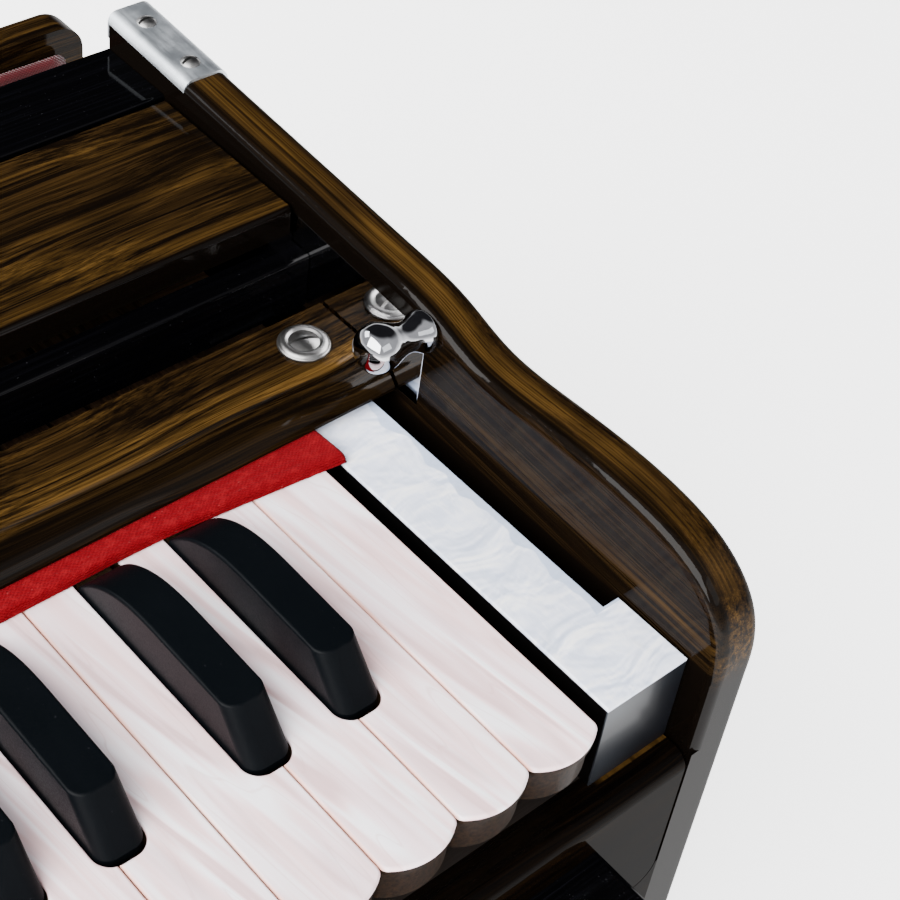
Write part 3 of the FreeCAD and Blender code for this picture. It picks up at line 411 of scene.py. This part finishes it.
def black_key(tree):
    """Blue-black caps with a fine matt skin and a few specks."""
    fine = clouds(tree, place(tree), 2.2, 3.0, 0.7)
    soft = clouds(tree, place(tree, (0.1, 0.05, 0.1)), 1.0, 3.0)
    specks = remap(tree, clouds(tree, place(tree), 0.9, 1.0), 0.76, 0.80)
    colour = mix(tree, soft, (0.0008, 0.0013, 0.0019), (0.0017, 0.0024, 0.0032))
    colour = mix(tree, calc(tree, "MULTIPLY", specks, 0.3), colour, (0.02, 0.02, 0.024))
    rough = remap(tree, fine, 0.3, 0.7, 0.36, 0.50)
    return key_levers(tree, colour, rough, bump(tree, fine, 0.03, 0.5), BLACK_CAP)


def bare_wood(tree):
    """Plain brown wood with open pores, stained black towards the front."""
    line = clouds(tree, place(tree, (0.02, 0.5, 0.5)), 1.0, 4.0, 0.65, 0.4)
    pore = clouds(tree, place(tree, (0.1, 3.0, 3.0)), 1.0, 3.0, 0.7)
    colour = mix(tree, remap(tree, line, 0.3, 0.7), (0.10, 0.055, 0.025), (0.22, 0.13, 0.065))
    colour = mix(tree, remap(tree, pore, 0.60, 0.75, 0.0, 0.5), colour, (0.06, 0.032, 0.015))
    y = part_of(tree, place(tree), 1)
    colour = mix(tree, remap(tree, y, 175.0, 150.0), colour, (0.004, 0.0022, 0.0015))
    return {"Base_Color": colour, "Roughness": remap(tree, pore, 0.3, 0.7, 0.55, 0.75),
            "Normal": bump(tree, pore, 0.06, 0.5)}


def cloth(dark, light, thread=1.1):
    """Plain woven cloth: two crossed sets of threads."""
    def paint(tree):
        spot = place(tree)

        def threads(axis_a, axis_b):
            u = calc(tree, "ADD", part_of(tree, spot, axis_a), part_of(tree, spot, axis_b))
            return calc(tree, "SINE", calc(tree, "MULTIPLY", u, 2 * math.pi / thread))

        weave = calc(tree, "MULTIPLY", threads(0, 1), threads(2, 1))
        fuzz = clouds(tree, spot, 1.5, 3.0, 0.7)
        wide = clouds(tree, place(tree, (0.02, 0.05, 0.03)), 1.0, 3.0)
        tone = calc(tree, "MULTIPLY_ADD", weave, 0.25, calc(tree, "MULTIPLY", fuzz, 0.7))
        colour = mix(tree, tone, dark, light)
        colour = mix(tree, remap(tree, wide, 0.4, 0.7, 0.0, 0.4), colour, dark)
        normal = bump(tree, fuzz, 0.12, 0.4, bump(tree, weave, 0.10, 0.6))
        return {"Base_Color": colour, "Roughness": remap(tree, fuzz, 0.2, 0.8, 0.75, 0.95),
                "Normal": normal}

    return paint


def felt(tree):
    """Red felt: fuzz and tufts over a fine woven pattern, with a little lint."""
    fuzz = clouds(tree, place(tree, (1.4, 2.2, 2.2)), 1.0, 5.0, 0.75)
    tuft = clouds(tree, place(tree, (0.35, 0.5, 0.5)), 1.0, 3.0, 0.6)
    lint = remap(tree, clouds(tree, place(tree, (0.5, 1.6, 1.6)), 1.0, 1.0), 0.74, 0.80)
    spot = place(tree)
    ribs = calc(tree, "SINE", calc(tree, "MULTIPLY", part_of(tree, spot, 0), 2 * math.pi / 1.3))
    rows = calc(tree, "ADD", part_of(tree, spot, 1), part_of(tree, spot, 2))
    rows = calc(tree, "SINE", calc(tree, "MULTIPLY", rows, 2 * math.pi / 1.1))
    weave = calc(tree, "MULTIPLY_ADD", calc(tree, "MULTIPLY", ribs, rows), 0.5, 0.5)
    colour = mix(tree, fuzz, (0.085, 0.0006, 0.0020), (0.205, 0.0045, 0.0095))
    colour = mix(tree, calc(tree, "MULTIPLY", weave, 0.30), colour, (0.045, 0.0003, 0.0010))
    colour = mix(tree, remap(tree, tuft, 0.45, 0.75, 0.0, 0.35), colour, (0.27, 0.0085, 0.0130))
    colour = mix(tree, calc(tree, "MULTIPLY", lint, 0.35), colour, (0.40, 0.12, 0.11))
    normal = bump(tree, weave, 0.16, 0.6, bump(tree, tuft, 0.3, 0.5, bump(tree, fuzz, 0.25, 0.8)))
    return {"Base_Color": colour, "Roughness": remap(tree, fuzz, 0.2, 0.8, 0.8, 0.98),
            "Normal": normal}


def metal(low, high, rough_low, rough_high, scale=(0.6, 0.6, 0.6), depth=0.03):
    """Metal with a blotchy colour between low and high, and brush marks depth mm deep."""
    def paint(tree):
        blotch = clouds(tree, place(tree, (0.12, 0.12, 0.12)), 1.0, 4.0, 0.6)
        brushed = clouds(tree, place(tree, scale), 1.0, 4.0, 0.7)
        colour = mix(tree, remap(tree, blotch, 0.3, 0.7), low, high)
        uneven = calc(tree, "MULTIPLY_ADD", brushed, 0.5, calc(tree, "MULTIPLY", blotch, 0.5))
        rough = remap(tree, uneven, 0.3, 0.7, rough_low, rough_high)
        return {"Base_Color": colour, "Roughness": rough,
                "Normal": bump(tree, brushed, depth, 0.3)}

    return paint


def stop_paint(tree):
    """Ivory-coloured knob on a dark stained rod."""
    y = part_of(tree, place(tree), 1)
    ring = clouds(tree, place(tree, (0.25, 1.6, 0.25)), 1.0, 3.0, 0.6)
    ivory = mix(tree, remap(tree, ring, 0.35, 0.65), (0.66, 0.60, 0.50), (0.82, 0.78, 0.70))
    wood = mix(tree, ring, (0.03, 0.018, 0.010), (0.09, 0.05, 0.03))
    return {"Base_Color": mix(tree, calc(tree, "LESS_THAN", y, -33.7), wood, ivory),
            "Roughness": remap(tree, ring, 0.3, 0.7, 0.2, 0.34), "Normal": bump(tree, ring, 0.05, 0.3)}


DARK = (0.0018, 0.0012, 0.0008)
BROWN = (0.0125, 0.0066, 0.0030)
OCHRE = (0.085, 0.044, 0.0105)
BLACK, UMBER = (0.0009, 0.0007, 0.0006), (0.0025, 0.0014, 0.0010)


def varnished(paint, coat=0.16):
    return paint, dict(Coat_Weight=coat, Coat_Roughness=0.07, Specular_IOR_Level=0.0)


def polished(*colours_and_roughness, **options):
    return metal(*colours_and_roughness, **options), dict(Metallic=1.0)


FINISHES = {
    "side_varnish": varnished(grain(1, DARK, (0.017, 0.0086, 0.0040), OCHRE, 0.52, 0.12, 0.0,
                                    side_black_and_shade, rim_streaks, RISE)),
    "grained_varnish": varnished(grain(0, DARK, BROWN, OCHRE, 0.8, 1.0, 3.0, cover_fade)),
    "base_varnish": varnished(grain(0, DARK, BROWN, OCHRE, 0.45, 0.7, 9.0)),
    "bellows_varnish": varnished(grain(0, DARK, BROWN, OCHRE, 0.7, 1.3, 17.0)),
    "front_varnish": varnished(grain(0, BLACK, UMBER, OCHRE, 0.03, 0.5, 5.0, None, shelf_edge_highlight), 0.06),
    "box_varnish": varnished(black_gloss((0.0008, 0.0008, 0.001), (0.005, 0.005, 0.007))),
    "black_varnish": varnished(black_gloss((0.0006, 0.0006, 0.0008), (0.003, 0.003, 0.0042))),
    "pearl_key": (pearl_key, dict(Coat_Weight=0.04, Coat_Roughness=0.12, Specular_IOR_Level=0.05)),
    "pearl_block": (pearl_block, dict(Coat_Weight=0.10, Coat_Roughness=0.10,
                                      Specular_IOR_Level=0.05)),
    "black_key": (black_key, dict(Specular_IOR_Level=0.05)),
    "plain_wood": (bare_wood, dict(Specular_IOR_Level=0.3)),
    "brass": polished((0.60, 0.40, 0.16), (0.82, 0.60, 0.28), 0.22, 0.42),
    "steel": polished((0.42, 0.42, 0.42), (0.60, 0.60, 0.60), 0.25, 0.4),
    "nickel": polished((0.17, 0.17, 0.165), (0.27, 0.265, 0.26), 0.28, 0.40, depth=0.006),
    "knob_chrome": polished((0.36, 0.365, 0.38), (0.48, 0.485, 0.50), 0.03, 0.09, depth=0.01),
    "aluminium_strap": polished((0.51, 0.55, 0.585), (0.68, 0.72, 0.755), 0.44, 0.58,
                                scale=(0.9, 0.06, 0.9)),
    "stop_knob": (stop_paint, dict(Coat_Weight=0.4, Coat_Roughness=0.1)),
    "red_felt": (felt, dict(Sheen_Weight=0.02, Sheen_Roughness=0.5, Specular_IOR_Level=0.0)),
    "bellows_fabric": (cloth((0.036, 0.0022, 0.0040), (0.130, 0.0085, 0.0120)),
                       dict(Sheen_Weight=0.2, Sheen_Roughness=0.5, Specular_IOR_Level=0.15)),
    "reservoir_cloth": (cloth((0.30, 0.27, 0.20), (0.55, 0.51, 0.42)),
                        dict(Specular_IOR_Level=0.15)),
}
LOOKS = {name: material(name, paint, **constants) for name, (paint, constants) in FINISHES.items()}
MIRROR_PAINT, MIRROR_CONSTANTS = polished((0.78, 0.78, 0.80), (0.88, 0.88, 0.89), 0.03, 0.07, depth=0.01)
MIRROR = material("polished_plate", MIRROR_PAINT, **MIRROR_CONSTANTS)
for name, obj in frame["nodes"].items():
    slot = next(p["material_slot"] for p in frame["record"]["subparts"] if p["node"] == name)
    obj.data.materials.clear()
    obj.data.materials.append(LOOKS[slot])


# ---- meshes that replace soft and turned solids -----------------------------------------------
def new_piece(name, points, faces, look, smooth=True):
    """A mesh object with one of the looks, which is also its material slot."""
    mesh = bpy.data.meshes.new(name)
    mesh.from_pydata([tuple(p) for p in points], [], faces)
    mesh.update()
    for face in mesh.polygons:
        face.use_smooth = smooth
    mesh.materials.append(LOOKS[look])
    piece = bpy.data.objects.new(name, mesh)
    bpy.context.scene.collection.objects.link(piece)
    return piece


def tube_of_rings(rings, closed=True, caps=True):
    """Faces that join rings of equal length, one after another."""
    count = len(rings[0])
    points = [p for ring in rings for p in ring]
    faces = []
    for i in range(len(rings) - 1):
        for j in range(count if closed else count - 1):
            k = (j + 1) % count
            faces.append((i * count + j, i * count + k, (i + 1) * count + k, (i + 1) * count + j))
    if caps:
        faces.append(tuple(reversed(range(count))))
        faces.append(tuple((len(rings) - 1) * count + j for j in range(count)))
    return points, faces


def felt_section():
    """(y, z) round the felt strip: ribbed front edge, nearly flat ribbed top, flat underside."""
    low, high = 0.35, 2.70
    points = []
    for i in range(37):
        t = i / 36
        rib = 0.13 * math.sin(t * 5 * 2 * math.pi)
        lean = 1.5 * t + 0.9 * t ** 4
        points.append((lean - rib, low + (high - low) * math.sin(t * math.pi / 2) ** 0.8))
    for i in range(1, 49):
        t = i / 48
        rib = 0.06 * math.sin(t * 6 * 2 * math.pi) * (1 - t)
        points.append((2.4 + (FELT_DEPTH - 2.4) * t, high + rib - 0.35 * t ** 3))
    points.append((FELT_DEPTH, low))
    return points


def make_felt():
    """Felt strip over the rear ends of the keys, its front edge drooping towards the ends."""
    section = felt_section()
    steps = 560
    rings = []
    for i in range(steps + 1):
        t = i / steps
        ring = []
        for inset, z in section:
            x = FELT_HALF * (2 * t - 1)
            droop = 3.7 - 5.1 * max(0.0, (abs(x) - 140) / 63) ** 1.6
            wave = 0.4 * noise.noise(Vector((x * 0.03, 1.7, 0)))
            y = FELT_FRONT + inset + (droop + wave) * (1 - inset / FELT_DEPTH)
            fuzz = 0.06 * noise.noise(Vector((x * 1.1, y * 1.5, z * 2)))
            x -= 0.9 * (2 * t - 1) ** 5 * (inset / FELT_DEPTH)
            ring.append(at(x, y + fuzz, z + 0.6 * fuzz))
        rings.append(ring)
    felt_piece = new_piece("felt_ribbon", *tube_of_rings(rings), "red_felt")
    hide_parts("felt_strip")
    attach(felt_piece, "case")


def turned(name, outline, turn, look, count=96):
    """A piece turned on a lathe.  outline is (radius, height) in mm; turn places it."""
    rings = []
    for radius, height in outline:
        rings.append([turn @ Vector((radius * math.cos(2 * math.pi * j / count) / 1000,
                                     radius * math.sin(2 * math.pi * j / count) / 1000, height / 1000))
                      for j in range(count)])
    return new_piece(name, *tube_of_rings(rings), look)


def smooth_outline(points, steps=7):
    """Catmull-Rom points through an outline."""
    ends = [points[0], *points, points[-1]]
    found = []
    for a, b, c, d in zip(ends, ends[1:], ends[2:], ends[3:]):
        for i in range(steps):
            t = i / steps
            found.append([0.5 * (2 * b[k] + (c[k] - a[k]) * t
                                 + (2 * a[k] - 5 * b[k] + 4 * c[k] - d[k]) * t * t
                                 + (3 * b[k] - a[k] - 3 * c[k] + d[k]) * t ** 3) for k in (0, 1)])
    return found + [points[-1]]


def make_knobs():
    """Turned knob on each cheek: a collar, a waist and a larger bulb."""
    outline = smooth_outline([
        (4.6, 0.3), (5.7, 1.0), (5.7, 2.4), (4.9, 4.2), (4.3, 6.4), (4.5, 9.0), (5.4, 11.8),
        (6.4, 14.6), (6.6, 17.0), (5.6, 19.9), (3.0, 21.7), (0.05, 22.2)])
    for side, word in ((1, "right"), (-1, "left")):
        tilt = Matrix.Rotation(math.radians(side * (-90 + KNOB_TILT)), 4, "Y")
        turn = Matrix.Translation(at(side * CHEEK, KNOB_Y, KNOB_Z)) @ tilt
        knob = turned(f"knob_{word}", outline, turn, "knob_chrome")
        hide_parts("cheek_fittings")
        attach(knob, "case")


def make_plates():
    """Polished plate let into each cheek, its top edge level with the side board's."""
    def top(y):
        return SIDE_TOP + RISE * (y - SIDE_TOP_Y) - PLATE_DROP

    outline = [(PLATE_FRONT, PLATE_LOW), (PLATE_BACK, PLATE_LOW),
               (PLATE_BACK, top(PLATE_BACK)), (PLATE_FRONT, top(PLATE_FRONT))]
    for side, word in ((1, "right"), (-1, "left")):
        inner = side * (CHEEK + PLATE_GAP)
        outer = side * (CHEEK + PLATE_GAP + PLATE_THICK)
        points = [at(x, y, z) for x in (inner, outer) for y, z in outline]
        faces = [(3, 2, 1, 0), (4, 5, 6, 7)]
        faces += [(k, (k + 1) % 4, (k + 1) % 4 + 4, k + 4) for k in range(4)]
        if side < 0:
            faces = [tuple(reversed(face)) for face in faces]
        plate = new_piece(f"cheek_plate_{word}", points, faces, "knob_chrome", smooth=False)
        plate.data.materials[0] = MIRROR
        soft = plate.modifiers.new("edges", "BEVEL")
        soft.width, soft.segments = 0.00015, 2
        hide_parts("cheek_fittings")
        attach(plate, "case")


def pleats(name, look, half, low, high, start, end, folds, reach, upright):
    """Cloth in pleats round a rectangle.  Ridges lie on it and valleys lie reach inside it; the
    pleats follow one another from start to end, back along y or, if upright, down along z."""
    per_fold, per_corner, per_side = 12, 7, 30

    def corner_points(inset):
        radius = 4.0 if inset < reach / 2 else 1.5
        x1, z0, z1 = half - inset, low + inset, high - inset
        found = []
        for cx, cz, first in ((x1, z1, 0), (-x1, z1, 90), (-x1, z0, 180), (x1, z0, 270)):
            mx = cx - math.copysign(radius, cx)
            mz = cz - (radius if cz == z1 else -radius)
            for k in range(per_corner):
                angle = math.radians(first + 15 * k)
                found.append((mx + radius * math.cos(angle), mz + radius * math.sin(angle)))
        return found

    rings = []
    steps = per_fold * folds
    middle = (low + high) / 2
    for i in range(steps + 1):
        phase = (i / per_fold) % 1
        ridge = 1 - abs(2 * phase - 1)
        ridge = 0.8 * ridge + 0.2 * (1 - math.cos(math.pi * ridge)) / 2
        along = start + (end - start) * i / steps
        corners = corner_points(reach * (1 - ridge))
        ring = []
        for j, (u, v) in enumerate(corners):
            nu, nv = corners[(j + 1) % len(corners)]
            parts = per_side if j % per_corner == per_corner - 1 else 1
            for k in range(parts):
                a, b = u + (nu - u) * k / parts, v + (nv - v) * k / parts
                sag = 0.5 * noise.noise(Vector((a * 0.03, b * 0.03, i * 0.35)))
                creep = 0.25 * noise.noise(Vector((a * 0.05, b * 0.05, 9 + i / 6)))
                shrink = 1 - sag / half
                c = along + (creep if 0 < i < steps else 0)
                a, b = a * shrink, middle + (b - middle) * shrink
                ring.append(at(a, b, c) if upright else at(a, c, b))
        rings.append(ring)
    return new_piece(name, *tube_of_rings(rings, caps=False), look)


def boards(name, look, *blocks):
    """Plain boards given as (x0, x1, y0, y1, z0, z1), with slightly rounded edges."""
    points, faces = [], []
    for x0, x1, y0, y1, z0, z1 in blocks:
        first = len(points)
        points += [at(x, y, z) for x in (x0, x1) for y in (y0, y1) for z in (z0, z1)]
        faces += [tuple(first + k for k in face) for face in (
            (0, 1, 3, 2), (4, 6, 7, 5), (0, 4, 5, 1), (2, 3, 7, 6), (0, 2, 6, 4), (1, 5, 7, 3))]
    piece = new_piece(name, points, faces, look, smooth=False)
    edge = piece.modifiers.new("edges", "BEVEL")
    edge.width, edge.segments = 0.0006, 2
    return piece


def make_bellows():
    """Folds between the case and the bellows board, and the flap over the board's air holes."""
    half, low, high, count, depth = 232, -134, 18, 5, 22
    folds = pleats("bellows_folds", "bellows_fabric", half, low, high, CASE_BACK + 0.1, BOARD_Y - 0.1,
                   count, depth, False)
    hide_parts("bellows_cloth")
    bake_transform(folds)
    flap_half, flap_top, flap_height = 76, -28, 56
    columns, rows = 76, 28
    points, faces = [], []
    for i in range(rows + 1):
        for j in range(columns + 1):
            x, z = -flap_half + 2 * flap_half * j / columns, flap_top - flap_height * i / rows
            curl = 1.6 * (i / rows) ** 3 * (0.7 + 0.5 * noise.noise(Vector((x * 0.05, 3, 0))))
            ripple = 0.15 * noise.noise(Vector((x, z, 0)) * 0.08)
            points.append(at(x, BOARD_Y - 0.35 - curl - ripple, z))
    for i in range(rows):
        for j in range(columns):
            a = i * (columns + 1) + j
            faces.append((a, a + columns + 1, a + columns + 2, a + 1))
    flap = new_piece("air_flap", points, faces, "bellows_fabric")
    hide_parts("bellows_cloth")
    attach(flap, "bellows")


def make_reservoir():
    """Wind store under the sound board: folded walls, a frame over them and a board below."""
    half, front, back, top, low, rim = 212, 34, 220, -42, -104, 9
    frame_top, board_low = -38.2, -112
    walls = pleats("reservoir_folds", "reservoir_cloth", half, front, back, top, low, 4, 8, True)
    wood = boards("reservoir_boards", "plain_wood",
                  (-half, half, front, back, board_low, low - 0.05),
                  (-half, half, front, front + rim, top, frame_top),
                  (-half, half, back - rim, back, top, frame_top),
                  (-half, rim - half, front + rim, back - rim, top, frame_top),
                  (half - rim, half, front + rim, back - rim, top, frame_top))
    for piece in (walls, wood):
        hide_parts("reservoir")
        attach(piece, "case")


make_felt()
make_knobs()
make_plates()
make_bellows()
make_reservoir()


# ---- stage, light and camera --------------------------------------------------------------------
def make_floor():
    """Pale floor, glowing a little so that it stays near white."""
    mesh = bpy.data.meshes.new("floor")
    far = 12
    corners = [(-far, -far, 0), (far, -far, 0), (far, far, 0), (-far, far, 0)]
    mesh.from_pydata(corners, [], [(0, 1, 2, 3)])

    def paint(tree):
        tone = clouds(tree, place(tree, (0.004, 0.004, 0.004)), 1.0, 3.0)
        return {"Base_Color": mix(tree, tone, (0.90, 0.90, 0.905), (0.93, 0.93, 0.935)),
                "Roughness": remap(tree, tone, 0.3, 0.7, 0.55, 0.65)}

    mesh.materials.append(material("pale_floor", paint, Specular_IOR_Level=0.2,
                                   Emission_Color=(1.0, 1.0, 1.0), Emission_Strength=2.6))
    floor = bpy.data.objects.new("floor", mesh)
    bpy.context.scene.collection.objects.link(floor)


def make_world():
    """A bright horizon under a softer sky, dark where level surfaces would mirror it."""
    world = bpy.data.worlds.new("studio")
    bpy.context.scene.world = world
    world.use_nodes = True
    tree = world.node_tree
    back = tree.nodes["Background"]
    toward = node(tree, "TexCoord", {}, out=0)
    mirrored = (0.53, 0.48, 0.70)
    shaded = node(tree, "VectorMath", {"operation": "DOT_PRODUCT"}, (0, toward), (1, mirrored), out=1)
    sky = mix(tree, remap(tree, shaded, 0.55, 0.80), (0.85, 0.85, 0.88), (0.03, 0.03, 0.035))
    horizon = remap(tree, part_of(tree, toward, 2), 0.0, 0.22)
    plug(tree, back.inputs["Color"], mix(tree, horizon, (2.2, 2.2, 2.25), sky))
    back.inputs["Strength"].default_value = 1.0


def soft_light(name, place_at, aim, width, height, watts, tint):
    data = bpy.data.lights.new(name, "AREA")
    data.shape = "RECTANGLE"
    data.size, data.size_y, data.energy, data.color = width, height, watts, tint
    lamp = bpy.data.objects.new(name, data)
    lamp.location = place_at
    lamp.rotation_euler = (Vector(aim) - Vector(place_at)).to_track_quat("-Z", "Y").to_euler()
    bpy.context.scene.collection.objects.link(lamp)


def make_camera():
    """Looks down and back over the right-hand end from the left.  The place is given from the
    front inner corner of the right end block, in millimetres."""
    data = bpy.data.cameras.new("camera")
    data.sensor_width, data.lens = 36.0, 80.26
    camera = bpy.data.objects.new("camera", data)
    right = Vector((0.74588741, -0.6560346, 0.11472494))
    down = Vector((-0.40186236, -0.580697, -0.70805968))
    ahead = Vector((0.53118665, 0.4820881, -0.69677089))
    turn = Matrix((right, -down, -ahead)).transposed().to_4x4()
    block_corner = at(202.75, 0, 0)
    spot = block_corner + Vector((-252.916, -166.717, 366.413)) / 1000
    camera.matrix_world = Matrix.Translation(spot) @ turn
    bpy.context.scene.collection.objects.link(camera)
    bpy.context.scene.camera = camera


make_floor()
make_world()
soft_light("main", (-1.15, -0.25, 1.25), (0.1, 0, 0.1), 2.2, 1.5, 150, (1.0, 0.99, 0.98))
soft_light("front", (0.35, -1.6, 1.3), (0.1, 0, 0.1), 1.3, 0.8, 6, (0.96, 0.98, 1.0))
soft_light("rear", (-0.5, 1.5, 1.2), (0.0, 0.1, 0.1), 1.2, 0.7, 20, (0.96, 0.98, 1.0))
make_camera()
